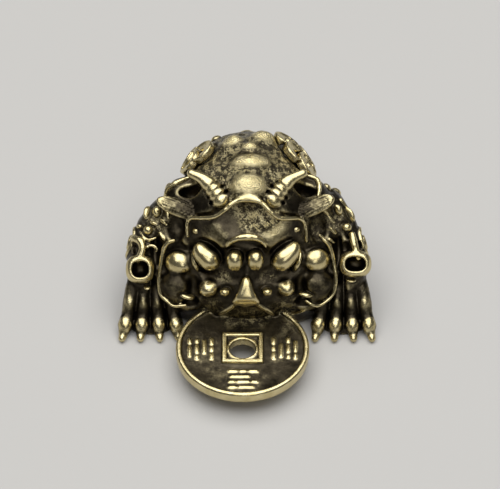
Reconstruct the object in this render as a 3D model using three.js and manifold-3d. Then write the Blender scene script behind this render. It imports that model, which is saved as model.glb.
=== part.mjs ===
// A toad cast in brass, crouching with a pierced coin in its mouth.
// Millimetres, +Z up. The face looks along -Y and +X is to the viewer's right.
// The origin is the centre of the bounding box on the ground.

import * as THREE from "three";
import { mergeVertices } from "three/addons/utils/BufferGeometryUtils.js";
import Module from "manifold-3d";

// Overall size
const HALF_SPAN = 15;
const HALF_LENGTH = 17;
const TOE_Y = -5.5;

// Slopes
const LEVEL = [0, 0, 0];
const FACE_SLOPE = THREE.MathUtils.degToRad(58);
const BROW_SLOPE = THREE.MathUtils.degToRad(49);
const ARM_SLOPE = THREE.MathUtils.degToRad(45);

// The masses of the body: centre, half sizes along its own axes, and turn
const HUMP = { centre: [0, 6.3, 8.8], half: [7.9, 9.3, 8.8], fullness: 2.2, around: 18, rings: 12 };
const BELLY = { centre: [0, 4.5, 4.2], half: [8.6, 9.5, 5.6], around: 16, rings: 8 };
const RUMP = { centre: [0, 12.0, 6.2], half: [5.6, 4.4, 5.6], around: 12, rings: 8 };
const SKULL = {
  centre: [0, 3.0, 7.1],
  half: [10.3, 7.0, 4.9],
  turn: [FACE_SLOPE, 0, 0],
  fullness: 3.2,
  around: 20,
  rings: 12,
};
const MUZZLE = { centre: [0, -0.4, 6.0], half: [6.9, 3.4, 3.6], turn: [0.2, 0, 0], around: 14, rings: 8 };
const JAW = { centre: [0, -0.6, 1.9], half: [6.2, 3.8, 2.1], around: 12, rings: 6 };
const SHOULDER = {
  centre: [9.5, 3.9, 4.9],
  half: [4.3, 6.3, 4.2],
  turn: [ARM_SLOPE, 0, 0],
  around: 12,
  rings: 10,
};
const WRIST = { centre: [11.1, 0.9, 2.7], half: [3.3, 3.2, 3.3], around: 10, rings: 8 };
const JOWL = { centre: [6.7, -0.2, 4.0], half: [3.6, 3.5, 3.5], around: 10, rings: 8 };

// The coin in the mouth
const COIN_RADIUS = 7.55;
const COIN_THICK = 1.35;
const COIN_TOP = 3.2;
const COIN_X = -0.5;
const COIN_Y = COIN_RADIUS - HALF_LENGTH;
const COIN_RIM = 0.45;
const COIN_BEVEL = 0.4;
const COIN_EDGE = 0.12;
const COIN_HOLE = 1.5;
const COIN_SQUARE = 4.7;

// Feet
const TOES = [7.9, 10.0, 12.2, 14.1];
const TOE_TIP_Y = TOE_Y - 0.1;
const TOE_LENGTH = 5.7;
const TOE_RADIUS = 1.25;
const TOE_FAN = 0.8;
const FOOT_X = 11.1;
const SOLE = { centre: [FOOT_X, TOE_Y + 4.0, 0.3], half: [3.9, 3.6, 1.5], around: 12, rings: 4 };
const HIND_TOE_SPREAD = 3.2;
const HIND_TOE_RADIUS = 1.2;

// The relief is laid out on the plane square to this line of sight: a place on it is the
// distance from the middle line and the rise above the line of the toes, and the relief
// sits on the skin seen there.
const SIGHT = THREE.MathUtils.degToRad(45);
const SIGHT_FROM = 60;

const BROW = [
  [0, 16.3],
  [1.5, 16.1],
  [2.5, 15.3],
  [3.7, 14.4],
  [5.6, 14.1],
  [6.7, 13.1],
];
const BROW_FOOT = [
  [2.0, 11.2],
  [6.9, 11.4],
];
const BROW_MIDDLE = 13;
const BROW_THICK = 2.4;
const BROW_PROUD = 0.35;
const BROW_EDGE = 0.42;
const WHISKER = [
  [8.4, 11.6],
  [9.6, 10.1],
  [10.2, 8.1],
  [10.1, 6.4],
  [9.4, 4.9],
  [8.2, 4.0],
  [6.6, 4.3],
];
const WHISKER_RADIUS = 0.32;
const LIP = [
  [0, 4.35],
  [2.4, 4.0],
  [4.8, 3.1],
];
const LIP_RADIUS = 0.42;

// Knobs as side distance, rise, radius and lift off the skin
const FACE_KNOBS = [
  [7.9, 9.1, 1.3, -0.2],
  [8.6, 6.3, 1.2, -0.3],
  [4.3, 6.05, 0.7, 0.1],
  [2.2, 5.7, 0.75, 0.2],
  [1.2, 9.4, 0.8, 0],
];
const ARM_KNOBS = [
  [10.8, 14.8, 0.75, 0],
  [11.3, 12.7, 0.75, 0],
  [12.1, 11.0, 0.85, 0],
];
const SPINE_KNOBS = [
  [0.1, 17.8, 1.35, -0.4],
  [0.3, 20.4, 1.7, -0.4],
  [-1.4, 22.3, 1.2, -0.4],
  [1.7, 23.0, 1.2, -0.4],
];
const BACK_COINS = [
  [-5.0, 21.2],
  [-3.4, 22.6],
  [4.4, 22.4],
  [5.2, 21.0],
];
const BACK_COIN_RADIUS = 1.75;
const BACK_COIN_THICK = 0.9;
const BACK_COIN_DENT = 0.15;
const NOSE = { place: [0, 5.6, 0.1], half: [0.95, 0.8, 1.7], around: 8, rings: 6 };
const EYE = { place: [4.45, 9.75, 0.15], half: [1.85, 1.1, 1.0], around: 12, rings: 6 };
const EYE_TILT = 0.7;
const EAR = { place: [7.0, 15.1, 0.6], half: [2.5, 1.0, 0.9], around: 10, rings: 6 };
const EAR_TURN = [0.3, -0.25, 0.1];
const HORN = [
  [2.9, 15.4, 0.0],
  [3.4, 17.0, 1.0],
  [4.3, 18.3, 1.2],
  [6.3, 18.9, 1.0],
];
const HORN_BASE = 1.4;
const HORN_TIP = 0.65;
const ELBOW = [12.0, 8.5, 0.1];
const ELBOW_RING = 1.05;
const ELBOW_WALL = 0.38;

const wasm = await Module();
wasm.setup();

const at = (x, y, z) => new THREE.Vector3(x, y, z);
const sightLine = at(0, Math.cos(SIGHT), -Math.sin(SIGHT));
const riseLine = at(0, Math.sin(SIGHT), Math.cos(SIGHT));

// A closed geometry as a solid that can be joined and cut.
function solid(geometry) {
  const bare = geometry.clone();
  for (const name of Object.keys(bare.attributes)) {
    if (name !== "position") bare.deleteAttribute(name);
  }
  const merged = mergeVertices(bare, 1e-4);
  return new wasm.Manifold(
    new wasm.Mesh({
      numProp: 3,
      vertProperties: merged.attributes.position.array,
      triVerts: new Uint32Array(merged.index.array),
    }),
  );
}

// A solid as a geometry for a mesh.
function geometryOf(body) {
  const mesh = body.getMesh();
  const geometry = new THREE.BufferGeometry();
  geometry.setAttribute("position", new THREE.BufferAttribute(mesh.vertProperties, 3));
  geometry.setIndex(new THREE.BufferAttribute(mesh.triVerts, 1));
  geometry.computeVertexNormals();
  return geometry;
}

function join(solids) {
  return solids.reduce((all, one) => all.add(one));
}

// The same feature on the left (-1) and on the right (1).
function pair(make) {
  return join([make(-1), make(1)]);
}

// A rounded mass: an ellipsoid at fullness 2, and squarer above it.
function egg({ half, around, rings, fullness = 2 }, centre, turn = LEVEL) {
  const shape = new THREE.SphereGeometry(1, around, rings);
  shape.rotateX(Math.PI / 2);
  const position = shape.attributes.position;
  for (let i = 0; i < position.count; i++) {
    const point = at(0, 0, 0).fromBufferAttribute(position, i);
    const powers = point.toArray().map((part) => Math.abs(part) ** fullness);
    point.multiplyScalar((powers[0] + powers[1] + powers[2]) ** (-1 / fullness));
    position.setXYZ(i, point.x, point.y, point.z);
  }
  shape.scale(...half);
  shape.applyMatrix4(new THREE.Matrix4().makeRotationFromEuler(new THREE.Euler(...turn)));
  shape.translate(centre.x, centre.y, centre.z);
  return solid(shape);
}

// A mass of the body, on the middle line or on one side.
function mass(form, side = 1) {
  const [x, y, z] = form.centre;
  return egg(form, at(side * x, y, z), form.turn);
}

// A cylinder bent along a smooth curve, with a radius that varies from 0 to 1 along it.
function bent(points, radiusAt, sides, steps) {
  const curve = new THREE.CatmullRomCurve3(points);
  const frames = curve.computeFrenetFrames(steps);
  const shape = new THREE.CylinderGeometry(1, 1, 1, sides, steps);
  const position = shape.attributes.position;
  for (let i = 0; i < position.count; i++) {
    const along = 0.5 - position.getY(i);
    const ring = Math.round(along * steps);
    const radius = radiusAt(along);
    const moved = curve.getPointAt(along);
    moved.addScaledVector(frames.normals[ring], position.getX(i) * radius);
    moved.addScaledVector(frames.binormals[ring], position.getZ(i) * radius);
    position.setXYZ(i, moved.x, moved.y, moved.z);
  }
  return solid(shape);
}

// The trunk, head, arms and soles that all the relief sits on.
function trunk() {
  return join([
    ...[HUMP, BELLY, RUMP, SKULL, MUZZLE, JAW].map((form) => mass(form)),
    ...[JOWL, SHOULDER, WRIST].map((form) => pair((side) => mass(form, side))),
  ]);
}

const body = trunk();
const skin = new THREE.Mesh(geometryOf(body));

// Where the line of sight at this place meets the skin, and which way the skin faces there.
function look(x, rise) {
  const from = at(x, TOE_Y, 0).addScaledVector(riseLine, rise);
  from.addScaledVector(sightLine, -SIGHT_FROM);
  const hit = new THREE.Raycaster(from, sightLine).intersectObject(skin)[0];
  if (!hit) throw new Error("no skin at " + x + ", " + rise);
  return { point: hit.point, normal: hit.face.normal };
}

// A point seated on the skin, lifted off it or sunk into it.
function seat([x, rise, lift = 0], side = 1) {
  const { point, normal } = look(side * x, rise);
  return point.addScaledVector(normal, lift);
}

// A raised line on the skin that thins out at its ends.
function ridge(places, radius, steps, side = 1, lift = 0) {
  const points = places.map(([x, rise]) => seat([x, rise, lift], side));
  return bent(points, (along) => radius * (0.55 + 0.45 * Math.sin(Math.PI * along)), 5, steps);
}

function knob([x, rise, radius, lift], side = 1) {
  const ball = { half: [radius, radius, radius], around: 8, rings: 5 };
  return egg(ball, seat([x, rise, lift], side));
}

function knobs(places) {
  return pair((side) => join(places.map((place) => knob(place, side))));
}

// A round coin with a sunk field, a raised square round its hole, and a plain back.
function coin() {
  const field = COIN_TOP - COIN_BEVEL;
  const under = COIN_TOP - COIN_THICK;
  const profile = [
    [0, under],
    [COIN_RADIUS - COIN_EDGE, under],
    [COIN_RADIUS, under + COIN_EDGE],
    [COIN_RADIUS, COIN_TOP - COIN_EDGE],
    [COIN_RADIUS - COIN_EDGE, COIN_TOP],
    [COIN_RADIUS - COIN_RIM, COIN_TOP],
    [COIN_RADIUS - COIN_RIM - COIN_BEVEL, field],
    [0, field],
  ].map(([radius, height]) => new THREE.Vector2(radius, height));
  const disc = new THREE.LatheGeometry(profile, 36);
  disc.rotateX(Math.PI / 2);

  const raised = new THREE.BoxGeometry(COIN_SQUARE, COIN_SQUARE, COIN_THICK);
  raised.translate(0, 0, COIN_TOP - COIN_THICK / 2);

  const hole = new THREE.CylinderGeometry(COIN_HOLE, COIN_HOLE, 4 * COIN_THICK, 20);
  hole.rotateX(Math.PI / 2);
  hole.translate(0, 0, COIN_TOP);

  return solid(disc).add(solid(raised)).subtract(solid(hole)).translate([COIN_X, COIN_Y, 0]);
}

// A toe that rises over two knuckles from its claw on the ground.
function toe(tip, root, radius) {
  const share = (along, height) => at(...tip).lerp(at(...root), along).setZ(height);
  const points = [share(0, 0.35), share(0.28, 1.1), share(0.5, 1.5), share(0.75, 2.9), share(1, 4.0)];
  const knuckles = (along) => Math.sin(Math.min(1, 1.25 * along) * 2 * Math.PI - 0.6) ** 2;
  return bent(points, (along) => radius * (0.6 + 0.4 * knuckles(along)), 6, 7);
}

function foot(side) {
  const toes = TOES.map((x) => {
    const root = FOOT_X + (x - FOOT_X) * TOE_FAN;
    return toe([side * x, TOE_TIP_Y, 0], [side * root, TOE_TIP_Y + TOE_LENGTH, 0], TOE_RADIUS);
  });
  return join([...toes, mass(SOLE, side)]);
}

// The single hind leg, tucked under the rump, with three toes.
function hindLeg() {
  const leg = bent(
    [at(0, 10.8, 7.5), at(0, 13.9, 5.4), at(0, 14.6, 3.2), at(0, 13.0, 1.2)],
    (along) => 3.3 - 1.2 * along,
    12,
    7,
  );
  const toes = [-1, 0, 1].map((place) => {
    const tip = [place * HIND_TOE_SPREAD, HALF_LENGTH - 0.4 - 0.5 * Math.abs(place), 0];
    return toe(tip, [place * HIND_TOE_RADIUS, HALF_LENGTH - 5.5, 0], HIND_TOE_RADIUS);
  });
  return join([leg, ...toes]);
}

function horn(side) {
  const points = HORN.map((place) => seat(place, side));
  return bent(points, (along) => THREE.MathUtils.lerp(HORN_BASE, HORN_TIP, along), 8, 8);
}

function ear(side) {
  const [pitch, roll, yaw] = EAR_TURN;
  return egg(EAR, seat(EAR.place, side), [pitch, side * roll, side * yaw]);
}

function eye(side) {
  return egg(EYE, seat(EYE.place, side), [FACE_SLOPE, 0, side * EYE_TILT]);
}

// A ring on the elbow that faces the viewer.
function elbow(side) {
  const ring = new THREE.TorusGeometry(ELBOW_RING, ELBOW_WALL, 6, 12);
  ring.rotateX(SIGHT);
  ring.translate(...seat(ELBOW, side).toArray());
  return solid(ring);
}

// The whole outline of a form that is drawn from the middle to the right.
function mirrored(half) {
  const left = half.map(([x, rise]) => [-x, rise]).reverse();
  return [...left, ...half.filter(([x]) => x > 0)];
}

// A smooth plate over the brow, as a slab tilted back from the face, with a raised edge.
function brow() {
  const middle = look(0, BROW_MIDDLE).point;
  const stretch = 1 / Math.cos(BROW_SLOPE - SIGHT);
  const places = [...mirrored(BROW), ...mirrored(BROW_FOOT).reverse()];
  const shape = new THREE.Shape(
    places.map(([x, rise]) => new THREE.Vector2(x, (rise - BROW_MIDDLE) * stretch)),
  );
  const slab = new THREE.ExtrudeGeometry(shape, { depth: BROW_THICK, bevelEnabled: false });
  slab.translate(0, 0, BROW_PROUD - BROW_THICK);
  slab.rotateX(BROW_SLOPE);
  slab.translate(...middle.toArray());
  return solid(slab).add(ridge(mirrored(BROW), BROW_EDGE, 20, 1, BROW_PROUD));
}

function head() {
  return join([
    brow(),
    pair((side) => ridge(WHISKER, WHISKER_RADIUS, 12, side)),
    pair((side) => ridge(LIP, LIP_RADIUS, 8, side)),
    knobs(FACE_KNOBS),
    egg(NOSE, seat(NOSE.place)),
    pair(eye),
    pair(ear),
    pair(horn),
  ]);
}

// A small coin lying on the skin, with a dent in its middle.
function backCoin([x, rise]) {
  const { point, normal } = look(x, rise);
  const upright = new THREE.Quaternion().setFromUnitVectors(at(0, 1, 0), normal);
  const radius = BACK_COIN_RADIUS;
  const disc = new THREE.CylinderGeometry(radius, radius, BACK_COIN_THICK, 12);
  const dent = new THREE.CylinderGeometry(0.55 * radius, 0.55 * radius, BACK_COIN_THICK, 8);
  disc.translate(0, BACK_COIN_THICK / 4, 0);
  dent.translate(0, (BACK_COIN_THICK * 5) / 4 - BACK_COIN_DENT, 0);
  const [whole, cut] = [disc, dent].map((shape) => {
    shape.applyQuaternion(upright);
    shape.translate(...point.toArray());
    return solid(shape);
  });
  return whole.subtract(cut);
}

function back() {
  return join([...SPINE_KNOBS.map((place) => knob(place)), ...BACK_COINS.map(backCoin)]);
}

function arms() {
  return pair((side) => elbow(side).add(foot(side))).add(knobs(ARM_KNOBS));
}

// Everything below the ground is cut off flat.
function ground() {
  const block = new THREE.BoxGeometry(4 * HALF_SPAN, 4 * HALF_SPAN, HALF_SPAN);
  block.translate(0, 0, -HALF_SPAN / 2);
  return solid(block);
}

// The casting without the sealed pockets that may stay between its overlapping masses.
function cast(whole) {
  return join(whole.decompose().filter((shell) => shell.volume() > 0));
}

const toad = cast(join([body, coin(), head(), back(), arms(), hindLeg()]).subtract(ground()));

const brass = new THREE.MeshStandardMaterial({ color: 0x8d8462, roughness: 0.45, metalness: 1 });
const statue = new THREE.Mesh(geometryOf(toad), brass);
statue.name = "brass_toad";

const model = new THREE.Group();
model.add(statue);

export default model;
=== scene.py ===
"""A toad cast in brass with a pierced coin in its mouth: one skin, sculpted on a grid of distances."""
import math
from collections import namedtuple

import bpy
import numpy as np
import openvdb
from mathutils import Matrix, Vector

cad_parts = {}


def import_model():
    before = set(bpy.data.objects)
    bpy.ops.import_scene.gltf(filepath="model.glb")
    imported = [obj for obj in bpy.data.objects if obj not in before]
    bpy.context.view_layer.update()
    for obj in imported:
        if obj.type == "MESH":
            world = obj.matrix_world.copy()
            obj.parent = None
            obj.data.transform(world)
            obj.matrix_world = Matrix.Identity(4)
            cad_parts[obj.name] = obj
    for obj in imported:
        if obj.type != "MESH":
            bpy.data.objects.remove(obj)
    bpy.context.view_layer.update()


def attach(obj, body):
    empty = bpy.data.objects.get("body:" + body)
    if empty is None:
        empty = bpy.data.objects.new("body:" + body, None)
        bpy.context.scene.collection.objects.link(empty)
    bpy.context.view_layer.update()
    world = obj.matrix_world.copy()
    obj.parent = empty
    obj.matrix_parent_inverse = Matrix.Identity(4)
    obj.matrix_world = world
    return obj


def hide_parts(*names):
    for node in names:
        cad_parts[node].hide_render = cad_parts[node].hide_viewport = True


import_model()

MM = 0.001

# The grid of the sculpture, in millimetres
STEP = 0.14
FAR = 1.6
LOW = (-15.9, -17.9, -0.9)
HIGH = (15.9, 17.9, 20.0)
MOST_TRIANGLES = 190000

# The relief is laid out in the plane square to the camera's line of sight: a place is the distance
# from the middle line and the rise above the line of the toes.
SIGHT = math.radians(45)
TOE_Y = -5.5
ACROSS = np.array([1.0, 0.0, 0.0])
RISE = np.array([0.0, math.sin(SIGHT), math.cos(SIGHT)])
TOWARD = np.array([0.0, -math.cos(SIGHT), math.sin(SIGHT)])
SIDES = (-1, 1)

Form = namedtuple("Form", "distance low high")


def unit(vector):
    return vector / np.linalg.norm(vector)


def smooth_curve(points, steps):
    """A smooth line through the points, with this many steps for each stretch between them."""
    points = np.array(points, dtype=float)
    before = 2 * points[0] - points[1]
    after = 2 * points[-1] - points[-2]
    padded = np.vstack([before, points, after])
    made = []
    for i in range(len(points) - 1):
        a, b, c, d = padded[i:i + 4]
        for t in np.arange(steps) / steps:
            made.append(
                0.5 * (2 * b + (c - a) * t + (2 * a - 5 * b + 4 * c - d) * t * t + (3 * b - a - 3 * c + d) * t ** 3)
            )
    made.append(points[-1])
    return np.array(made)


def axes_along(long_way, normal):
    """A form's own axes as columns: its length, its width and its way off the skin."""
    out = unit(normal)
    length = unit(long_way - out * np.dot(long_way, out))
    return np.stack([length, np.cross(out, length), out], axis=1)


def tipped(pitch=0.0, roll=0.0, yaw=0.0):
    """The axes of a form turned about X, then Y, then Z."""
    a, b, c = (math.cos(turn) for turn in (pitch, roll, yaw))
    p, q, r = (math.sin(turn) for turn in (pitch, roll, yaw))
    about_x = np.array([[1, 0, 0], [0, a, -p], [0, p, a]])
    about_y = np.array([[b, 0, q], [0, 1, 0], [-q, 0, b]])
    about_z = np.array([[c, -r, 0], [r, c, 0], [0, 0, 1]])
    return about_z @ about_y @ about_x


UPRIGHT = tipped()


def local(x, y, z, centre, axes):
    """Places on the grid as lengths along a form's own axes."""
    dx, dy, dz = x - centre[0], y - centre[1], z - centre[2]
    return [dx * axes[0, i] + dy * axes[1, i] + dz * axes[2, i] for i in range(3)]


def egg(centre, half, axes=UPRIGHT, fullness=2.0):
    """An ellipsoid at fullness 2, and squarer above it."""
    centre, half, axes = np.array(centre, dtype=float), np.array(half, dtype=float), np.array(axes)

    def distance(x, y, z):
        shares = [np.abs(part) / size + 1e-6 for part, size in zip(local(x, y, z, centre, axes), half)]
        total = sum(share ** fullness for share in shares)
        reach = total ** (1 / fullness)
        slope = sum((share ** (fullness - 1) / size) ** 2 for share, size in zip(shares, half))
        return (reach - 1) * total / (reach * np.sqrt(slope))

    extent = np.abs(axes) @ half
    return Form(distance, centre - extent, centre + extent)


def tube(points, radii):
    """A line of round section whose radius runs through the radii."""
    points = np.array(points, dtype=float)
    steps = np.linspace(0, 1, len(points))
    radii = np.interp(steps, np.linspace(0, 1, len(radii)), radii)

    def distance(x, y, z):
        nearest = None
        for a, b, ra, rb in zip(points[:-1], points[1:], radii[:-1], radii[1:]):
            way = b - a
            along = ((x - a[0]) * way[0] + (y - a[1]) * way[1] + (z - a[2]) * way[2]) / (np.dot(way, way) + 1e-9)
            along = np.clip(along, 0, 1)
            gap = np.sqrt(
                (x - a[0] - along * way[0]) ** 2 + (y - a[1] - along * way[1]) ** 2 + (z - a[2] - along * way[2]) ** 2
            ) - (ra + along * (rb - ra))
            nearest = gap if nearest is None else np.minimum(nearest, gap)
        return nearest

    widest = radii.max()
    return Form(distance, points.min(axis=0) - widest, points.max(axis=0) + widest)


def ring(centre, radius, wall, axes):
    """A round ring that lies square to its third axis."""
    centre = np.array(centre, dtype=float)

    def distance(x, y, z):
        u, v, w = local(x, y, z, centre, axes)
        return np.hypot(np.hypot(u, v) - radius, w) - wall

    extent = np.full(3, radius + wall)
    return Form(distance, centre - extent, centre + extent)


def drum(centre, radius, half_height, axes=UPRIGHT, edge=0.1):
    """A round disc or bore along its third axis, with a rounded edge."""
    centre = np.array(centre, dtype=float)

    def distance(x, y, z):
        u, v, w = local(x, y, z, centre, axes)
        out = np.hypot(u, v) - radius + edge
        up = np.abs(w) - half_height + edge
        return np.hypot(np.maximum(out, 0), np.maximum(up, 0)) + np.minimum(np.maximum(out, up), 0) - edge

    extent = np.full(3, math.hypot(radius, half_height))
    return Form(distance, centre - extent, centre + extent)


def block(centre, half, axes=UPRIGHT, edge=0.1):
    """A box with rounded edges."""
    centre = np.array(centre, dtype=float)

    def distance(x, y, z):
        past = [np.abs(part) - size + edge for part, size in zip(local(x, y, z, centre, axes), half)]
        outside = np.sqrt(sum(np.maximum(part, 0) ** 2 for part in past))
        inside = np.minimum(np.maximum(np.maximum(past[0], past[1]), past[2]), 0)
        return outside + inside - edge

    extent = np.abs(axes) @ np.array(half)
    return Form(distance, centre - extent, centre + extent)


class Clay:
    """A solid held as the distance to its skin at each point of a grid, negative inside."""

    def __init__(self):
        counts = [int((high - low) / STEP) + 1 for low, high in zip(LOW, HIGH)]
        self.axes = [low + STEP * np.arange(count, dtype=np.float32) for low, count in zip(LOW, counts)]
        self.field = np.full(counts, FAR, dtype=np.float32)
        self.shine = np.full(counts, 0.5, dtype=np.float32)
        self.grit = np.full(counts, 0.1, dtype=np.float32)
        self.polish = 0.5
        self.coarse = 0.0
        self.skin = None

    def window(self, form):
        """The part of the grid round a form, and the places in it."""
        spans = []
        for axis in range(3):
            first = int((form.low[axis] - FAR - LOW[axis]) / STEP)
            last = int((form.high[axis] + FAR - LOW[axis]) / STEP) + 2
            spans.append(slice(max(first, 0), max(last, 0)))
        x, y, z = (self.axes[axis][spans[axis]] for axis in range(3))
        return tuple(spans), x[:, None, None], y[None, :, None], z[None, None, :]

    def add(self, form, blend=0.0):
        self.merge(form, blend, 1)

    def cut(self, form, blend=0.0):
        self.merge(form, blend, -1)

    def merge(self, form, blend, way):
        """Joins a form to the solid (way 1) or cuts it away (way -1), with a fillet as wide as blend."""
        spans, x, y, z = self.window(form)
        here = way * self.field[spans]
        there = np.clip(form.distance(x, y, z), -FAR, FAR)
        if way > 0:
            share = np.clip(0.5 + (here - there) / (blend + STEP), 0, 1)
            self.shine[spans] += share * (self.polish - self.shine[spans])
            self.grit[spans] += share * (self.coarse - self.grit[spans])
        joined = np.minimum(here, there)
        if blend:
            joined -= np.maximum(blend - np.abs(here - there), 0) ** 2 / (4 * blend)
        self.field[spans] = way * joined

    def paint(self, values, place, half, amount, soft=0.6):
        """Brings the polish or the grit near a place of the relief to an amount."""
        x, rise = place
        point = np.array([x, TOE_Y, 0]) + rise * RISE + 8 * TOWARD
        form = egg(point, (*half, 20.0), axes_along(ACROSS, TOWARD))
        spans, x, y, z = self.window(form)
        share = np.clip(0.5 - form.distance(x, y, z) / (2 * soft), 0, 1)
        values[spans] += share * (amount - values[spans])

    def sample(self, values, points):
        """Values of the grid between its points."""
        places = [(points[:, axis] - LOW[axis]) / STEP for axis in range(3)]
        floors = [
            np.clip(np.floor(place).astype(int), 0, size - 2) for place, size in zip(places, values.shape)
        ]
        shares = [np.clip(place - floor, 0, 1) for place, floor in zip(places, floors)]
        total = 0
        for corner in np.ndindex(2, 2, 2):
            weight = 1
            for share, side in zip(shares, corner):
                weight = weight * (share if side else 1 - share)
            total = total + weight * values[tuple(floor + side for floor, side in zip(floors, corner))]
        return total

    def hit(self, start, way, far=60.0):
        """Where a line first meets the trunk's skin, and which way the skin faces there."""
        along = np.arange(0, far, STEP / 2)
        line = np.array(start) + np.outer(along, way)
        inside = np.nonzero(self.sample(self.skin, line) < 0)[0]
        if not len(inside):
            raise ValueError(f"no skin along {start}")
        point = line[inside[0]]
        nudges = np.vstack([np.eye(3), -np.eye(3)]) * 2 * STEP
        around = self.sample(self.skin, point + nudges)
        return point, unit(around[:3] - around[3:])

    def seat(self, place, lift=0.0):
        """A place of the relief as a point on the skin, lifted off it, and the skin's normal there."""
        x, rise = place
        start = np.array([x, TOE_Y, 0]) + rise * RISE + 30 * TOWARD
        point, normal = self.hit(start, -TOWARD)
        return point + lift * normal, normal

    def lens(self, start, end, width, height, lift=0.0, moat=0.0, blend=0.2, fullness=2.0):
        """An egg that lies along the skin from one place to another, with a sunk border round it."""
        a, b = self.seat(start)[0], self.seat(end)[0]
        middle, normal = self.seat([(p + q) / 2 for p, q in zip(start, end)])
        axes = axes_along(b - a, normal)
        length = np.linalg.norm(b - a) / 2
        if moat:
            border = (length + moat, width / 2 + moat, 1.3 * moat)
            self.cut(egg(middle, border, axes), 0.3)
        self.add(egg(middle + lift * normal, (length, width / 2, height), axes, fullness), blend)

    def knob(self, place, radius, lift=0.0, moat=0.0, blend=0.2):
        x, rise = place
        self.lens((x - radius, rise), (x + radius, rise), 2 * radius, radius, lift, moat, blend)

    def cord(self, places, radii, lift=0.0, steps=6, blend=0.15):
        """A raised line on the skin through the places."""
        curve = smooth_curve(places, steps)
        self.add(tube([self.seat(place, lift)[0] for place in curve], radii), blend)

    def thread(self, places, radii, lift=0.0, steps=6, blend=0.15):
        """A raised line that spans the dips of the skin instead of following them."""
        line = np.array([self.seat(place, lift)[0] for place in smooth_curve(places, steps)])
        near = line @ TOWARD
        padded = np.pad(near, 2 * steps, mode="edge")
        highest = np.array([padded[i:i + 2 * steps + 1].max() for i in range(len(near) + 2 * steps)])
        even = np.array([highest[i:i + 2 * steps + 1].mean() for i in range(len(near))])
        line += (even - near)[:, None] * TOWARD
        self.add(tube(line, radii), blend)

    def groove(self, places, radii, lift=0.0, steps=6, blend=0.15):
        """A sunk line on the skin through the places."""
        curve = smooth_curve(places, steps)
        self.cut(tube([self.seat(place, lift)[0] for place in curve], radii), blend)


# The masses of the body: centre, half sizes, pitch and fullness
Mass = namedtuple("Mass", "centre half pitch fullness", defaults=(0.0, 2.0))
HUMP = Mass((0.15, 6.3, 8.8), (8.0, 9.3, 8.8), fullness=2.2)
BELLY = Mass((0, 4.5, 4.2), (8.6, 9.5, 5.6))
RUMP = Mass((0, 12.0, 6.2), (5.6, 4.4, 5.6))
SKULL = Mass((0, 3.0, 7.1), (9.9, 7.0, 4.9), math.radians(58), 3.2)
MUZZLE = Mass((0, -0.5, 6.0), (6.4, 3.4, 3.5), 0.2)
JAW = Mass((0, -0.6, 1.9), (6.2, 3.8, 2.1))
CHEST = Mass((0, -0.2, 1.2), (8.9, 3.4, 2.0), fullness=2.5)
JOWL = Mass((6.7, -0.2, 4.0), (3.4, 3.5, 3.5))
MANE = Mass((7.1, 5.3, 12.4), (2.25, 2.4, 2.1))
SHOULDERS = {-1: (8.8, 5.1, 9.2), 1: (8.7, 5.6, 10.0)}
ARM = [(9.9, 4.1, 8.0), (11.0, 1.8, 6.4), (11.4, 0.4, 5.0), (11.2, 0.0, 3.2), (11.0, -0.4, 1.4)]
ARM_RADII = [2.65, 2.85, 2.65, 2.25, 1.9, 1.7]
TRUNK_BLEND = 0.8


def trunk(clay):
    """The large masses that carry all the relief."""
    clay.polish = 0.3
    clay.coarse = 0.1
    for mass in (HUMP, BELLY, RUMP, SKULL, MUZZLE, JAW, CHEST):
        clay.add(egg(mass.centre, mass.half, tipped(mass.pitch), mass.fullness), TRUNK_BLEND)
    for side in SIDES:
        for mass in (JOWL, MANE):
            x, y, z = mass.centre
            clay.add(egg((side * x, y, z), mass.half), TRUNK_BLEND)
        arm = [(side * x, y, z) for x, y, z in [SHOULDERS[side], *ARM]]
        clay.add(tube(smooth_curve(arm, 4), ARM_RADII), TRUNK_BLEND)
    clay.skin = clay.field.copy()
    clay.coarse = 0.0


# Hollows as place, half sizes across, up and inwards
NECK_HOLLOWS = [((8.3, 13.0), (1.3, 1.7, 1.6)), ((10.3, 10.2), (0.55, 1.8, 1.3)), ((10.7, 6.5), (0.4, 2.6, 1.2))]
FACE_HOLLOWS = [
    ((4.4, 9.6), (2.5, 2.2, 1.0)), ((1.2, 9.4), (1.6, 1.8, 0.9)), ((8.0, 8.6), (1.8, 2.8, 0.9)),
    ((2.9, 7.5), (2.4, 0.9, 0.6)), ((6.2, 5.9), (0.9, 1.6, 0.9)), ((6.4, 4.2), (0.9, 0.6, 1.4)),
]


def hollows(clay):
    """The dark hollows between the features of the face, and between the head and the arms."""
    for (x, rise), half in NECK_HOLLOWS + FACE_HOLLOWS:
        for side in SIDES:
            point, normal = clay.seat((side * x, rise))
            clay.cut(egg(point, half, axes_along(ACROSS, normal)), 0.6)


# The plate over the brow
BROW_RIM = [
    (-6.6, 12.0), (-6.65, 13.2), (-6.2, 13.95), (-4.8, 14.0), (-3.5, 14.15), (-2.35, 14.9), (-1.4, 15.7), (0, 16.0),
    (1.4, 15.75), (2.45, 14.8), (3.4, 14.05), (4.4, 13.95), (5.5, 13.95), (6.2, 13.6), (6.5, 12.7), (6.6, 11.4),
]
BROW_PINS = [(-5.8, 12.5), (5.6, 12.7)]
BROW_MIDDLE = (0, 13.1)
BROW_LEAN = math.radians(57)
CRESCENT = [(-2.25, 10.8), (-1.8, 11.35), (-1.1, 11.75), (0, 11.9), (1.0, 11.8), (1.7, 11.4), (2.1, 10.8)]


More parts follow.
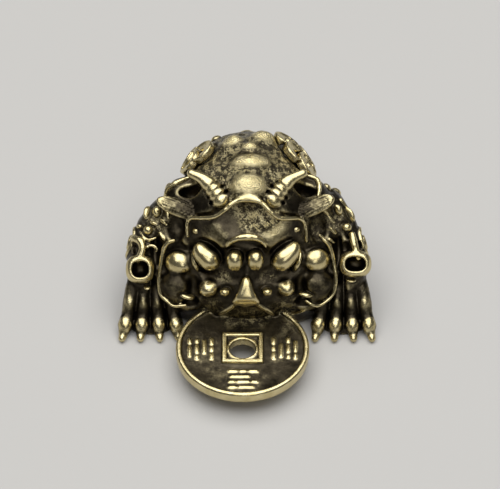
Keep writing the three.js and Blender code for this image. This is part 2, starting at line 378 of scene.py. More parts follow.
def brow(clay):
    """A smooth hollow plate with a raised rim, a crescent at its foot and a pin at each corner."""
    middle, _ = clay.seat(BROW_MIDDLE)
    normal = -tipped(pitch=-BROW_LEAN)[:, 1]
    clay.cut(egg(middle + 0.7 * normal, (6.1, 2.9, 1.7), axes_along(ACROSS, normal), 2.4), 0.4)
    clay.paint(clay.shine, (0, 13.2), (6.2, 2.6), 0.45)
    clay.paint(clay.shine, (1.8, 13.7), (2.6, 1.8), 0.9)
    outside = [
        (x + 0.62 * x / math.hypot(x, rise - 12.5), rise + 0.62 * (rise - 12.5) / math.hypot(x, rise - 12.5))
        for x, rise in BROW_RIM
    ]
    clay.groove(outside, [0.3, 0.42, 0.42, 0.3], lift=0.15, blend=0.2)
    clay.polish = 0.85
    clay.cord(BROW_RIM, [0.16, 0.24, 0.26, 0.26, 0.26, 0.26, 0.2, 0.14], lift=0.32, blend=0.3)
    hollow, normal = clay.seat((0, 10.9))
    clay.cut(egg(hollow, (1.7, 0.75, 0.9), axes_along(ACROSS, normal)), 0.3)
    clay.cord(CRESCENT, [0.12, 0.3, 0.44, 0.3, 0.12], lift=0.2, blend=0.25)
    clay.polish = 1.0
    for pin in BROW_PINS:
        clay.knob(pin, 0.27, lift=0.1)


# Features as their two ends
EYES = [((-5.75, 11.15), (-3.35, 8.4)), ((5.7, 11.3), (3.05, 8.35))]
EYE_LENSES = [((-6.2, 10.3), (-5.55, 7.9)), ((6.1, 10.3), (5.35, 7.9))]
BRIDGE = [((-1.4, 10.25), (-1.3, 8.2)), ((0.95, 10.3), (0.95, 8.3))]
CHEEKS = [(-7.85, 8.9), (7.95, 9.2)]
CHEEK_TAILS = [((-7.5, 9.2), (-6.7, 8.1)), ((7.6, 9.5), (7.0, 8.6))]
LOW_CHEEKS = [(-8.6, 6.4), (8.5, 6.6)]
BOSSES = [((-5.45, 5.95), (-3.3, 6.05)), ((3.45, 6.0), (5.4, 6.1))]
NOSTRILS = [((-3.0, 5.75), (-1.8, 5.7)), ((1.6, 5.7), (2.8, 5.8))]
FOLD_LENSES = [((-7.6, 5.3), (-5.9, 4.9)), ((5.8, 5.5), (7.5, 5.2))]
LIPS = [
    [(-0.3, 4.45), (-1.3, 4.3), (-2.0, 3.75), (-3.2, 3.2), (-4.6, 3.0)],
    [(-0.1, 4.45), (1.1, 4.3), (1.9, 3.8), (3.1, 3.1), (4.4, 2.8)],
]
WHISKERS = [
    [
        (-8.2, 11.5), (-8.9, 11.2), (-9.45, 10.4), (-9.8, 8.95), (-10.05, 7.5), (-10.05, 6.4), (-9.7, 5.3), (-8.9, 4.55),
        (-8.2, 4.1), (-7.0, 4.15),
    ],
    [
        (8.5, 11.7), (9.2, 11.0), (9.65, 10.0), (9.95, 8.8), (10.15, 7.5), (10.1, 6.4), (9.6, 5.3), (8.9, 4.6), (8.1, 4.15),
        (7.4, 4.25), (6.7, 4.7),
    ],
]
WHISKER_TUFTS = [((-8.6, 11.9), (-8.0, 12.1)), ((8.1, 12.1), (8.6, 11.9))]
LIP_STROKES = [((4.9, 3.1), (6.5, 3.5)), ((-8.2, 4.1), (-6.9, 4.25))]


def face(clay):
    clay.polish = 0.95
    for start, end in EYES:
        clay.lens(start, end, 2.2, 1.35, lift=0.05, moat=0.3, fullness=2.3)
        clay.lens([q + 0.75 * (p - q) for p, q in zip(start, end)], end, 2.5, 1.3, lift=0.05)
    clay.polish = 0.8
    for start, end in EYE_LENSES:
        clay.lens(start, end, 0.85, 1.0, lift=-0.3, moat=0.1)
    clay.polish = 0.7
    for start, end in BRIDGE:
        clay.lens(start, end, 1.9, 1.15, lift=0.0, moat=0.15, fullness=2.2, blend=0.35)
    for place in CHEEKS:
        clay.knob(place, 1.45, lift=-0.35, blend=0.7)
    for start, end in CHEEK_TAILS:
        clay.lens(start, end, 0.8, 1.0, lift=-0.2, blend=0.4)
    clay.polish = 0.15
    for place in LOW_CHEEKS:
        clay.knob(place, 1.5, lift=-0.7, blend=0.7)
    clay.polish = 0.7
    for start, end in BOSSES:
        clay.lens(start, end, 1.9, 1.25, lift=-0.15, blend=0.5)
    clay.polish = 0.8
    for start, end in NOSTRILS:
        clay.lens(start, end, 1.0, 0.8, lift=0.2, moat=0.2)
    for start, end in FOLD_LENSES:
        clay.lens(start, end, 0.6, 0.6, lift=0.0, moat=0.2)
    clay.polish = 0.6
    for lip in LIPS:
        clay.cord(lip, [0.45, 0.28, 0.18, 0.2, 0.3], lift=0.15, blend=0.4)
    nose(clay)
    clay.polish = 1.0
    for whisker in WHISKERS:
        clay.thread(whisker, [0.22, 0.26, 0.22, 0.2, 0.2, 0.18], lift=0.15)
    for start, end in WHISKER_TUFTS + LIP_STROKES:
        clay.cord([start, end], [0.12, 0.18, 0.1], lift=0.12)


NOSE = [(7.0, 0.0, 0.15), (6.6, 0.2, 0.35), (6.0, 0.35, 0.6), (5.3, 0.65, 0.8), (4.75, 1.1, 0.6)]


def nose(clay):
    """A ridge that widens downwards into the lip."""
    clay.polish = 1.0
    for side in (-1, -0.5, 0, 0.5, 1):
        line = [clay.seat((side * wide - 0.1, rise), lift)[0] for rise, wide, lift in NOSE]
        clay.add(tube(smooth_curve(line, 4), [0.3, 0.42, 0.48, 0.5, 0.4]), 0.35)


COIN_RADIUS = 7.55
COIN_TOP = 3.2
COIN_THICK = 1.35
COIN_X = -0.5
COIN_Y = -9.45
COIN_RIM = 0.58
COIN_DEEP = 0.4
COIN_SQUARE = 2.35
COIN_BORDER = 0.55
COIN_HOLE = 1.5
STROKE = 0.19
COIN_FIELD_POLISH = 0.4
COIN_WALL_POLISH = 0.5


def coin(clay):
    """A round coin with a raised rim, and a raised square round its hole."""
    field = COIN_TOP - COIN_DEEP
    mid = COIN_TOP - COIN_THICK / 2

    def at(z):
        return COIN_X, COIN_Y, z

    disc = Clay()
    disc.polish = 0.95
    disc.add(drum(at(mid), COIN_RADIUS, COIN_THICK / 2, edge=0.3))
    disc.cut(drum(at(field + 2), COIN_RADIUS - COIN_RIM, 2, edge=0.1), 0.15)
    disc.add(block(at(mid), (COIN_SQUARE, COIN_SQUARE, COIN_THICK / 2 - 0.02), edge=0.08))
    inner = COIN_SQUARE - COIN_BORDER
    disc.cut(block(at(field + 1), (inner, inner, 1), edge=0.08), 0.1)
    disc.add(ring(at(field), COIN_HOLE + 0.12, 0.14, UPRIGHT), 0.1)
    disc.cut(drum(at(mid), COIN_HOLE, 3))
    flat = (disc.axes[2] > field - 0.3) & (disc.axes[2] < field + 0.12)
    off = np.hypot(disc.axes[0][:, None] - COIN_X, disc.axes[1][None, :] - COIN_Y)
    disc.shine[(off < COIN_RADIUS - COIN_RIM - 0.1)[:, :, None] & flat[None, None, :]] = COIN_FIELD_POLISH
    disc.shine[(off > COIN_RADIUS - 0.2)[:, :, None] & (disc.axes[2] < COIN_TOP - 0.3)[None, None, :]] = COIN_WALL_POLISH
    for form in stroke_rows():
        disc.add(form, 0.06)
    clay.shine = np.where(disc.field < clay.field, disc.shine, clay.shine)
    clay.field = np.minimum(clay.field, disc.field)


def stroke_rows():
    """Rows of shallow strokes at the left, right and front of the square, as long as worn marks."""
    field = COIN_TOP - COIN_DEEP
    places = [((-4.75, 0.0), 0.0), ((4.75, 0.0), math.pi), ((0.0, -4.75), math.pi / 2)]
    lengths = [(1.5, 0.6), (0.5, 1.1, 0.4), (1.9,), (0.8, 0.5, 0.8)]
    shifts = [0.15, -0.1, 0.3, -0.05]
    for (dx, dy), turn in places:
        along = np.array([math.cos(turn), math.sin(turn), 0])
        beside = np.array([-along[1], along[0], 0])
        for row, (marks, shift) in enumerate(zip(lengths, shifts)):
            start = shift - (sum(marks) + 0.5 * (len(marks) - 1)) / 2
            for length in marks:
                centre = np.array([COIN_X + dx, COIN_Y + dy, field]) + along * (row - 1.5) * 0.82
                a = centre + beside * start
                b = centre + beside * (start + length)
                start += length + 0.5
                yield tube([a, b], [STROKE])


HORN = [(2.95, 1.6, 15.6), (3.85, 2.5, 16.4), (4.9, 3.3, 17.1), (6.3, 3.9, 17.5)]
HORN_RADII = [1.1, 1.05, 0.9, 0.62, 0.5]
HORN_RINGS = (2, 6, 10)


def horns(clay):
    clay.polish = 0.75
    for side in SIDES:
        curve = smooth_curve([(side * x, y, z) for x, y, z in HORN], 8)
        clay.add(tube(curve, HORN_RADII), 0.25)
        for index in HORN_RINGS:
            axes = axes_along(ACROSS, curve[index + 1] - curve[index - 1])
            radius = np.interp(index / (len(curve) - 1), np.linspace(0, 1, len(HORN_RADII)), HORN_RADII)
            clay.cut(ring(curve[index], radius + 0.05, 0.2, axes), 0.15)


EARS = [((-9.1, 15.7), (-5.2, 14.7)), ((8.9, 15.95), (5.3, 14.8))]
EAR_LINES = 6


def ears(clay):
    clay.polish = 0.15
    for start, end in EARS:
        a, b = clay.seat(start, 0.9)[0], clay.seat(end, 0.5)[0]
        axes = axes_along(b - a, RISE * 0.35 + TOWARD)
        middle = (a + b) / 2
        length = np.linalg.norm(b - a) / 2
        clay.add(egg(middle, (length, 1.05, 0.6), axes), 0.15)
        for line in range(EAR_LINES):
            shift = (line / (EAR_LINES - 1) - 0.5) * 1.5
            side = middle + axes[:, 1] * shift
            reach = length * 0.8 * math.sqrt(1 - (shift / 1.0) ** 2)
            top = axes[:, 2] * 0.62 * math.sqrt(1 - (shift / 1.0) ** 2)
            ends = [side + top - axes[:, 0] * reach - axes[:, 2] * 0.3, side + top, side + top + axes[:, 0] * reach - axes[:, 2] * 0.3]
            clay.cut(tube(smooth_curve(ends, 4), [0.08]), 0.05)


EAR_HOLLOWS = [((-6.3, 17.1), (1.5, 0.75, 1.8)), ((6.4, 17.2), (1.5, 0.75, 1.8))]
FRILLS = [
    [(-9.1, 16.5), (-8.8, 17.2), (-8.1, 17.7), (-7.3, 18.1), (-6.5, 18.4)],
    [(7.9, 16.3), (8.1, 17.2), (7.9, 18.1), (7.1, 18.5), (6.4, 18.8)],
]


def frills(clay):
    """The hollow behind each ear, with a thin raised edge round it."""
    for place, half in EAR_HOLLOWS:
        point, normal = clay.seat(place)
        clay.cut(egg(point, half, axes_along(ACROSS, normal)), 0.3)
    clay.polish = 0.6
    for frill in FRILLS:
        clay.cord(frill, [0.15, 0.28, 0.3, 0.25, 0.15], lift=0.3, blend=0.25)


SPINE = [((-1.9, 17.7), (2.3, 17.7), 3.6), ((-1.9, 20.2), (2.7, 20.2), 3.0), ((-0.8, 21.8), (1.5, 21.8), 1.6)]
TOP_BOSSES = [((-2.9, 22.4), (-0.1, 22.6), 2.5), ((0.3, 23.0), (3.3, 23.0), 2.9)]
STRING_LIFT = 0.25
STRING_RADIUS = 1.6
STRING = [
    (-4.9, 21.3), (-6.2, 20.2), (4.3, 22.5), (5.3, 21.2), (6.5, 19.9),
]


def back(clay):
    clay.polish = 0.8
    clay.coarse = 0.6
    for start, end, width in SPINE + TOP_BOSSES:
        clay.lens(start, end, width, 1.7, lift=-0.75, blend=1.0)
    clay.coarse = 0.1
    for place in STRING:
        point, normal = clay.seat(place)
        small_coin(clay, point, normal)
    rear(clay)


def small_coin(clay, point, normal):
    """A little round coin with a raised edge and a hole, lying on the skin."""
    axes = axes_along(ACROSS, normal)
    clay.cut(drum(point, STRING_RADIUS + 0.25, 0.5, axes, 0.2), 0.2)
    clay.add(drum(point + STRING_LIFT * normal, STRING_RADIUS, 0.45, axes), 0.1)
    clay.cut(drum(point + (STRING_LIFT + 0.45) * normal, STRING_RADIUS - 0.3, 0.15, axes, 0.05), 0.08)
    clay.cut(egg(point + (STRING_LIFT + 0.3) * normal, (0.4, 0.4, 0.6), axes), 0.05)


REAR_ROWS = 5
REAR_CENTRE = (0, 6.3, 7.0)


def rear(clay):
    """Rows of warts and the strings of coins that run on down the back."""
    for row in range(REAR_ROWS):
        climb = math.radians(56 - 15 * row)
        for side in SIDES:
            seat_coin(clay, side * math.radians(40), climb)
            for lean, radius in ((0, 1.3 - 0.1 * row), (math.radians(20), 0.7)):
                if lean or (side > 0 and row):
                    wart(clay, *around(clay, side * lean, climb - math.radians(8)), radius)


def around(clay, lean, climb):
    """A place on the back, from its lean off the middle line and its climb from the rear."""
    way = np.array([math.sin(lean), math.cos(lean) * math.cos(climb), math.cos(lean) * math.sin(climb)])
    return clay.hit(np.array(REAR_CENTRE) + 25 * way, -way)


def seat_coin(clay, lean, climb):
    small_coin(clay, *around(clay, lean, climb))


TOES = [7.75, 9.95, 12.15, 14.25]
FOOT_X = 11.0
TOE_LENGTH = 5.5
TOE_FAN = 0.55
# A toe as share of its length, height and radius
TOE_PATH = [
    (0.0, 0.4, 0.4), (0.12, 0.65, 0.55), (0.26, 1.1, 0.9), (0.43, 1.8, 0.75), (0.6, 2.8, 0.85), (0.8, 3.9, 0.85), (1.0, 4.6, 0.8),
]


def toe(clay, tip, root, steep=1.0):
    """A toe that rises over two knuckles from its claw on the ground."""
    tip, root = np.array(tip), np.array(root)
    points = [tip + (root - tip) * share + np.array([0, 0, height * steep]) for share, height, _ in TOE_PATH]
    clay.polish = 0.15
    clay.add(tube(smooth_curve(points, 4), [radius for _, _, radius in TOE_PATH]), 0.12)
    clay.cut(ring(points[1] + 0.05 * (root - tip), 0.75, 0.12, tipped(pitch=math.radians(65))), 0.1)
    clay.polish = 0.95
    clay.add(egg(points[2] + np.array([0, 0, 0.2]), (0.7, 1.0, 0.8)), 0.2)
    clay.add(egg(points[0] + np.array([0, 0.1, 0.05]), (0.38, 0.6, 0.4)), 0.1)
    clay.polish = 0.35
    clay.add(egg(points[4] + np.array([0, -0.1, 0.25]), (0.55, 0.9, 0.75), tipped(pitch=math.radians(45))), 0.3)


def foot(clay, side):
    clay.polish = 0.15
    clay.add(egg((side * FOOT_X, TOE_Y + 3.8, 0.2), (3.3, 2.9, 1.3)), 0.4)
    for x in TOES:
        root = FOOT_X + (x - FOOT_X) * TOE_FAN
        toe(clay, (side * x, TOE_Y, 0), (side * root, TOE_Y + TOE_LENGTH, 0))


HIND_LEG = [(0, 11.2, 8.0), (0, 13.6, 6.2), (0, 14.6, 3.6), (0, 13.4, 1.4)]
HIND_TOES = [(-2.6, 16.2), (0.0, 17.0), (2.6, 16.2)]


def hind_leg(clay):
    """One leg tucked under the middle of the rump, with three toes behind it."""
    clay.polish = 0.3
    clay.add(tube(smooth_curve(HIND_LEG, 6), [3.0, 2.7, 2.0, 2.0]), 0.6)
    for x, y in HIND_TOES:
        toe(clay, (x, y, 0), (x * 0.3, y - 4.2, 0), steep=0.7)


# The cuff on each elbow: place and half sizes of its hole
ELBOWS = [((-12.15, 8.2), (0.95, 0.95)), ((12.3, 8.8), (1.15, 0.85))]
CUFF = 0.5
BRACKETS = [
    [(-12.7, 11.6), (-12.0, 11.3), (-11.75, 10.6), (-11.95, 9.8), (-12.3, 9.2)],
    [(11.8, 12.0), (12.0, 11.0), (12.25, 10.1), (12.5, 9.5)],
]
ARM_HOLLOWS = [((-11.0, 9.8), (0.75, 0.75)), ((-12.9, 10.5), (0.35, 0.6)), ((11.2, 10.4), (0.5, 1.0)), ((12.9, 10.9), (0.35, 0.7))]
ARM_BARS = [
    ((-10.2, 15.3), (-10.2, 14.1), 1.0), ((-11.1, 15.3), (-11.5, 13.9), 0.7), ((10.0, 15.6), (10.6, 14.3), 0.85),
    ((11.2, 15.2), (12.1, 13.5), 0.55), ((11.2, 6.95), (12.4, 6.95), 0.35), ((-11.8, 6.2), (-10.9, 6.2), 0.4),
]
ARM_KNOBS = [(-11.2, 12.6, 0.52), (11.3, 12.9, 0.5), (12.15, 12.8, 0.2), (-12.2, 13.0, 0.28), (11.7, 12.1, 0.25), (10.4, 10.9, 0.25)]
ARM_LINES = [
    [(-12.1, 12.4), (-11.7, 11.85), (-11.2, 11.5), (-10.3, 11.75)],
    [(-11.5, 10.5), (-11.05, 10.85), (-10.6, 10.8), (-10.25, 10.5), (-10.35, 10.2)],
    [(-11.7, 9.35), (-11.2, 9.1), (-10.85, 8.5), (-10.75, 8.0)],
    [(10.6, 16.1), (11.2, 15.3)],
    [(11.8, 10.0), (11.2, 9.4), (10.95, 8.6)],
    [(-9.8, 13.8), (-9.0, 13.2)], [(-9.9, 12.3), (-9.4, 11.6)], [(-9.0, 14.7), (-8.8, 13.9)], [(-10.9, 13.5), (-10.3, 13.3)],
    [(9.3, 14.1), (9.9, 13.5)], [(9.5, 12.8), (10.1, 12.2)], [(8.5, 15.0), (9.2, 14.4)], [(9.3, 11.6), (9.9, 11.2)],
]


def arms(clay):
    axes = np.stack([ACROSS, RISE, TOWARD], axis=1)
    for (x, rise), half in ARM_HOLLOWS:
        point, normal = clay.seat((x, rise))
        clay.cut(egg(point, (*half, 0.7), axes_along(ACROSS, normal)), 0.2)
    for place, (wide, tall) in ELBOWS:
        point, _ = clay.seat(place)
        clay.polish = 0.45
        clay.add(egg(point, (wide + 0.7, tall + 0.7, 1.0), axes, 2.5), 0.3)
        clay.polish = 0.9
        loop = [
            point + 0.65 * TOWARD + (wide + 0.2) * math.cos(turn) * ACROSS + (tall + 0.2) * math.sin(turn) * RISE
            for turn in np.linspace(0, math.tau, 25)
        ]
        clay.add(tube(loop, [0.24]), 0.2)
        clay.cut(egg(point + 0.7 * TOWARD, (wide, tall, 1.9), axes, 2.5), 0.1)
    clay.polish = 0.95
    for bracket in BRACKETS:
        clay.cord(bracket, [0.38, 0.46, 0.42, 0.42, 0.4], lift=0.35)
    for start, end, width in ARM_BARS:
        clay.lens(start, end, width, 0.6, lift=0.05, moat=0.2)
    for x, rise, radius in ARM_KNOBS:
        clay.knob((x, rise), radius, lift=0.15, moat=0.15)
    clay.polish = 0.8
    for line in ARM_LINES:
        clay.cord(line, [0.12, 0.2, 0.13], lift=0.12)
    for side in SIDES:
        outer_arm(clay, side)


def beside(clay, side, y, z):
    """A place on the skin seen from the side."""
    return clay.hit((side * 25.0, y, z), np.array([-side, 0.0, 0.0]))


SCROLL_CENTRE = (3.4, 7.2)
SCROLL_TURNS = 1.8
SCROLL_RADIUS = 2.1
FLANK_WARTS = [
    (8.2, 8.6, 0.8), (10.6, 9.4, 0.9), (13.0, 8.2, 0.8), (9.4, 6.2, 0.7), (11.8, 6.4, 0.9), (7.6, 10.9, 0.7),
    (8.0, 3.6, 0.8), (10.4, 3.8, 0.7), (12.9, 4.4, 0.7), (6.6, 12.7, 0.6),
]


def outer_arm(clay, side):
    """A scroll on the shoulder, and warts on the flank."""
    clay.polish = 0.7
    line = []
    for share in np.linspace(0, 1, 30):
        turn = math.tau * SCROLL_TURNS * share
        radius = 0.25 + (SCROLL_RADIUS - 0.25) * share
        y = SCROLL_CENTRE[0] + radius * math.cos(turn)
        z = SCROLL_CENTRE[1] + radius * math.sin(turn)
        point, normal = beside(clay, side, y, z)
        line.append(point + 0.12 * normal)
    clay.add(tube(line, [0.3, 0.24, 0.24, 0.2]), 0.15)
    for y, z, radius in FLANK_WARTS:
        point, normal = beside(clay, side, y, z)
        wart(clay, point, normal, radius)


def wart(clay, point, normal, radius):
    """A round wart in a sunk border."""
    axes = axes_along(ACROSS + 0.01 * RISE, normal)
    clay.cut(egg(point, (radius + 0.3, radius + 0.3, 0.35), axes), 0.25)
    clay.polish = 0.6
    clay.add(egg(point - 0.1 * normal, (radius, radius, 0.8 * radius), axes), 0.25)


def ground(clay):
    """Everything below the ground is cut off flat."""
    clay.field = np.maximum(clay.field, -clay.axes[2][None, None, :])


def blurred(values, radius):
    """Values averaged over a round neighbourhood: two passes of a running mean on each axis."""
    width = max(int(round(radius / STEP)), 1)
    span = 2 * width + 1
    for axis in range(3):
        for _ in range(2):
            pad = [(0, 0)] * 3
            pad[axis] = (width + 1, width)
            sums = np.cumsum(np.pad(values, pad, mode="edge"), axis=axis, dtype=np.float32)
            high = [slice(None)] * 3
            low = [slice(None)] * 3
            high[axis] = slice(span, None)
            low[axis] = slice(None, -span)
            values = (sums[tuple(high)] - sums[tuple(low)]) / span
    return values


def largest_body(points, quads):
    """The largest connected skin, without the specks that hang free of it."""
    labels = np.arange(len(points))
    settled = False
    while not settled:
        lowest = labels[quads].min(axis=1)
        lowered = labels.copy()
        for corner in quads.T:
            np.minimum.at(lowered, corner, lowest)
        lowered = lowered[lowered]
        settled = np.array_equal(lowered, labels)
        labels = lowered
    quads = quads[labels[quads[:, 0]] == np.bincount(labels).argmax()]
    used = np.unique(quads)
    return points[used], np.searchsorted(used, quads)


def meshed(clay, name):
    """The skin of the clay as a mesh in metres."""
    grid = openvdb.FloatGrid(FAR)
    grid.copyFromArray(clay.field)
    points, quads = grid.convertToQuads(0.0)
    points, quads = largest_body(points * STEP + np.array(LOW), quads)
    mesh = bpy.data.meshes.new(name)
    mesh.from_pydata(points.tolist(), [], quads.tolist())
    mesh.validate()
    piece = bpy.data.objects.new(name, mesh)
    bpy.context.collection.objects.link(piece)
    triangles = 2 * len(quads)
    if triangles > MOST_TRIANGLES:
        thin = piece.modifiers.new("thin", "DECIMATE")
        thin.ratio = MOST_TRIANGLES / triangles
        whole = piece.evaluated_get(bpy.context.evaluated_depsgraph_get())
        mesh = bpy.data.meshes.new_from_object(whole)
        piece.modifiers.clear()
        piece.data = mesh
        mesh.name = name
    places = np.empty(3 * len(mesh.vertices), dtype=np.float32)
    mesh.vertices.foreach_get("co", places)
    places = places.reshape(-1, 3)
    record_wear(clay, mesh, places)
    places = roughened(clay, mesh, places)
    mesh.vertices.foreach_set("co", (places * MM).ravel())
    mesh.shade_smooth()
    mesh.update()
    return piece


def lattice_noise(places, period, seed):
    """Smooth noise between -1 and 1 with grains of about one period."""
    rng = np.random.default_rng(seed)
    scaled = places / period
    floors = np.floor(scaled).astype(int)
    shares = scaled - floors
    shares = shares * shares * (3 - 2 * shares)
    floors -= floors.min(axis=0)
    values = rng.uniform(-1, 1, floors.max(axis=0) + 2)
    total = 0
    for corner in np.ndindex(2, 2, 2):
        weight = 1
        for axis in range(3):
            weight = weight * (shares[:, axis] if corner[axis] else 1 - shares[:, axis])
        total = total + weight * values[tuple((floors + corner).T)]
    return total


GRAIN = 0.07


def roughened(clay, mesh, places):
    """The skin with the grain of the casting on it, stronger where it isn't polished."""
    normals = np.empty(3 * len(mesh.vertices), dtype=np.float32)
    mesh.vertex_normals.foreach_get("vector", normals)
    dull = np.clip(1.1 - 1.2 * clay.sample(clay.shine, places), 0, 1) * 0.3 + clay.sample(clay.grit, places)
    grain = lattice_noise(places, 0.75, 1) + 0.8 * lattice_noise(places, 0.4, 2)
    return places + normals.reshape(-1, 3) * (GRAIN * dull * grain * (places[:, 2] > 0.1))[:, None]


def record_wear(clay, mesh, places):
    """Keeps with each vertex how far it stands out of its surroundings, close by and wider."""
    solid = np.clip(0.5 - clay.field / STEP, 0, 1).astype(np.float32)
    for name, values in (("polish", clay.shine), ("grit", clay.grit)):
        layer = mesh.attributes.new(name, "FLOAT", "POINT")
        layer.data.foreach_set("value", clay.sample(values, places).astype(np.float32))
    for name, radius in (("fine", 0.25), ("broad", 0.8)):
        standing = 1 - 2 * clay.sample(blurred(solid, radius), places)
        layer = mesh.attributes.new(name, "FLOAT", "POINT")
        layer.data.foreach_set("value", standing.astype(np.float32))


class Nodes:
    """A material's node tree, built one call at a time."""

    def __init__(self, name):
        self.material = bpy.data.materials.new(name)
        self.material.use_nodes = True
        self.tree = self.material.node_tree
        self.shader = self.tree.nodes["Principled BSDF"]

    def node(self, kind, settings=None, **inputs):
        made = self.tree.nodes.new(kind)
        for key, value in (settings or {}).items():
            setattr(made, key, value)
        for key, value in inputs.items():
            self.feed(made.inputs[key.replace("_", " ")], value)
        return made

    def feed(self, socket, value):
        if hasattr(value, "is_output"):
            self.tree.links.new(value, socket)
        else:
            socket.default_value = value

    def sums(self, operation, *values, clamp=False):
        made = self.tree.nodes.new("ShaderNodeMath")
        made.operation = operation
        made.use_clamp = clamp
        for socket, value in zip(made.inputs, values):
            self.feed(socket, value)
        return made.outputs[0]

    def ramp(self, value, stops):
        made = self.tree.nodes.new("ShaderNodeValToRGB")
        marks = made.color_ramp.elements
        while len(marks) < len(stops):
            marks.new(0.5)
        for mark, (place, colour) in zip(marks, stops):
            mark.position = place
            mark.color = (*colour, 1)
        self.feed(made.inputs["Fac"], value)
        return made.outputs["Color"]

    def mix(self, share, first, second):
        made = self.tree.nodes.new("ShaderNodeMix")
        made.data_type = "RGBA"
        self.feed(made.inputs["Factor"], share)
        self.feed(made.inputs["A"], first)
        self.feed(made.inputs["B"], second)
        return made.outputs["Result"]


def antique_brass():
    """Brass that is polished where it stands out and black with patina where it is sunk."""
    n = Nodes("antique_brass")
    place = n.node("ShaderNodeTexCoord").outputs["Object"]
    fine = n.node("ShaderNodeAttribute", {"attribute_name": "fine"}).outputs["Fac"]
    broad = n.node("ShaderNodeAttribute", {"attribute_name": "broad"}).outputs["Fac"]
    blotches = n.node("ShaderNodeTexNoise", Vector=place, Scale=900.0, Detail=4.0, Roughness=0.6).outputs["Fac"]
    grains = n.node("ShaderNodeTexNoise", Vector=place, Scale=4200.0, Detail=3.0, Roughness=0.6).outputs["Fac"]
    specks = n.node("ShaderNodeTexNoise", Vector=place, Scale=5600.0, Detail=2.0, Roughness=0.7).outputs["Fac"]
    polish = n.node("ShaderNodeAttribute", {"attribute_name": "polish"}).outputs["Fac"]
    coarse = n.node("ShaderNodeAttribute", {"attribute_name": "grit"}).outputs["Fac"]
    stands = n.sums("ADD", n.sums("MULTIPLY", fine, 1.6), n.sums("MULTIPLY", broad, 1.3))
    stands = n.sums("MULTIPLY", stands, n.sums("ADD", 0.4, n.sums("MULTIPLY", polish, 1.2)))
    stands = n.sums("ADD", stands, n.sums("MULTIPLY", n.sums("SUBTRACT", polish, 0.5), 0.5))
    rubbed = n.sums("ADD", stands, n.sums("MULTIPLY", n.sums("SUBTRACT", blotches, 0.5), 0.5))
    rubbed = n.sums("ADD", rubbed, n.sums("MULTIPLY", n.sums("SUBTRACT", grains, 0.5), 0.35))
    wear = n.node("ShaderNodeMapRange", {"interpolation_type": "SMOOTHSTEP"}, Value=rubbed)
    wear.inputs["From Min"].default_value = 0.05
    wear.inputs["From Max"].default_value = 0.75
    clumps = n.node("ShaderNodeTexNoise", Vector=place, Scale=1500.0, Detail=3.0, Roughness=0.6).outputs["Fac"]
    bare = n.sums("ADD", specks, n.sums("MULTIPLY", n.sums("SUBTRACT", clumps, 0.5), 1.2))
    glint = n.node("ShaderNodeMapRange", {"interpolation_type": "SMOOTHSTEP"}, Value=bare)
    glint.inputs["From Min"].default_value = 0.45
    glint.inputs["From Max"].default_value = 0.62
    glint = n.sums("MULTIPLY", glint.outputs["Result"], n.sums("SUBTRACT", coarse, 0.1, clamp=True), clamp=True)
    wear = n.sums("MAXIMUM", wear.outputs["Result"], glint)
    brass = n.ramp(blotches, [(0.3, (0.54, 0.45, 0.22)), (0.7, (0.74, 0.64, 0.37))])
    patina = n.ramp(blotches, [(0.3, (0.022, 0.018, 0.012)), (0.7, (0.075, 0.062, 0.04))])
    n.feed(n.shader.inputs["Base Color"], n.mix(wear, patina, brass))
    n.shader.inputs["Metallic"].default_value = 1.0
    rough = n.sums("SUBTRACT", 0.34, n.sums("MULTIPLY", wear, 0.08))
    n.feed(n.shader.inputs["Roughness"], rough)
    relief = n.sums("MULTIPLY", grains, n.sums("SUBTRACT", 0.55, n.sums("MULTIPLY", polish, 0.5), clamp=True))
    relief = n.sums("ADD", relief, n.sums("MULTIPLY", specks, n.sums("MULTIPLY", coarse, 2.0)))
    bump = n.node("ShaderNodeBump", Height=relief, Strength=0.7, Distance=0.00015)
    n.feed(n.shader.inputs["Normal"], bump.outputs["Normal"])
    return n.material


# Grit as place, half sizes across and up, and amount
GRIT = [
    ((0, 20.0), (6.5, 5.0), 0.8), ((0, 17.3), (2.0, 1.2), 1.0), ((2.0, 13.7), (2.6, 1.7), 1.0), ((-0.4, 14.9), (1.2, 0.7), 0.7),
    ((-8.6, 6.2), (1.4, 1.2), 0.8), ((8.4, 6.4), (1.4, 1.3), 0.8), ((-4.1, 3.5), (1.1, 1.2), 0.9), ((4.3, 3.5), (1.0, 1.3), 0.9),
    ((-2.7, 7.4), (0.5, 0.4), 0.9), ((2.4, 7.3), (0.5, 0.3), 0.9), ((0, 2.9), (4.2, 0.9), 0.7), ((-8.9, 4.9), (1.0, 0.6), 0.6),
    ((-10.3, 13.8), (1.5, 1.5), 0.5), ((10.3, 13.8), (1.5, 1.5), 0.5), ((-13.5, 4.5), (0.7, 1.2), 0.7), ((7.3, 12.8), (1.0, 1.6), 0.5),
]


def grit(clay):
    for place, half, amount in GRIT:
        clay.paint(clay.grit, place, half, amount)


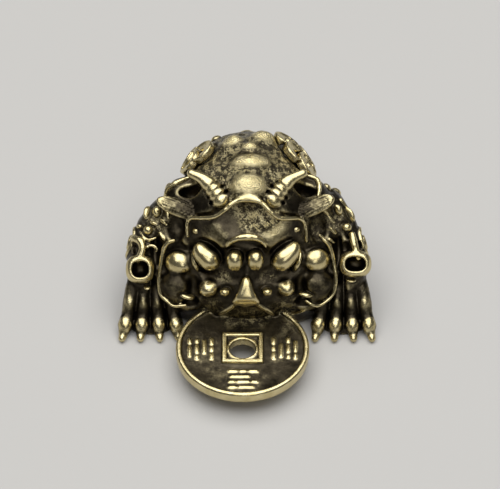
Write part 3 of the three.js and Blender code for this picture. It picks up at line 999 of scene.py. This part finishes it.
def sculpt():
    clay = Clay()
    trunk(clay)
    grit(clay)
    hollows(clay)
    brow(clay)
    face(clay)
    frills(clay)
    back(clay)
    horns(clay)
    ears(clay)
    arms(clay)
    for side in SIDES:
        foot(clay, side)
    hind_leg(clay)
    coin(clay)
    ground(clay)
    return clay


toad = meshed(sculpt(), "toad_skin")
toad.data.materials.append(antique_brass())
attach(toad, "root")
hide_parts("brass_toad")


def floor():
    mesh = bpy.data.meshes.new("floor")
    half = 3.0
    mesh.from_pydata([(-half, -half, 0), (half, -half, 0), (half, half, 0), (-half, half, 0)], [], [(0, 1, 2, 3)])
    piece = bpy.data.objects.new("floor", mesh)
    bpy.context.collection.objects.link(piece)
    n = Nodes("floor")
    n.shader.inputs["Base Color"].default_value = (0.5, 0.49, 0.47, 1)
    n.shader.inputs["Roughness"].default_value = 0.8
    mesh.materials.append(n.material)


def area_light(name, place, size, power, aim=(0, 0, 0.008)):
    light = bpy.data.lights.new(name, "AREA")
    light.shape = "RECTANGLE"
    light.size, light.size_y = size
    light.energy = power
    lamp = bpy.data.objects.new(name, light)
    lamp.location = place
    lamp.rotation_euler = (Vector(aim) - Vector(place)).to_track_quat("-Z", "Y").to_euler()
    bpy.context.collection.objects.link(lamp)


def world():
    made = bpy.data.worlds.new("room")
    bpy.context.scene.world = made
    made.use_nodes = True
    made.node_tree.nodes["Background"].inputs["Color"].default_value = (1, 1, 1, 1)
    made.node_tree.nodes["Background"].inputs["Strength"].default_value = 0.1


def camera():
    lens = bpy.data.cameras.new("camera")
    lens.lens = 360
    lens.sensor_width = 36
    eye = bpy.data.objects.new("camera", lens)
    target = Vector((0.34, 2.0, 8.06)) * MM
    away = Vector(TOWARD) * 570 * MM
    eye.location = target + away
    eye.rotation_euler = (-away).to_track_quat("-Z", "Y").to_euler()
    bpy.context.collection.objects.link(eye)
    bpy.context.scene.camera = eye


bpy.context.scene.view_settings.view_transform = "Standard"
floor()
area_light("overhead", (0.0, 0.04, 0.5), (0.75, 0.75), 4.6)
area_light("front", (0.1, -0.5, 0.42), (0.3, 0.3), 0.5)
world()
camera()
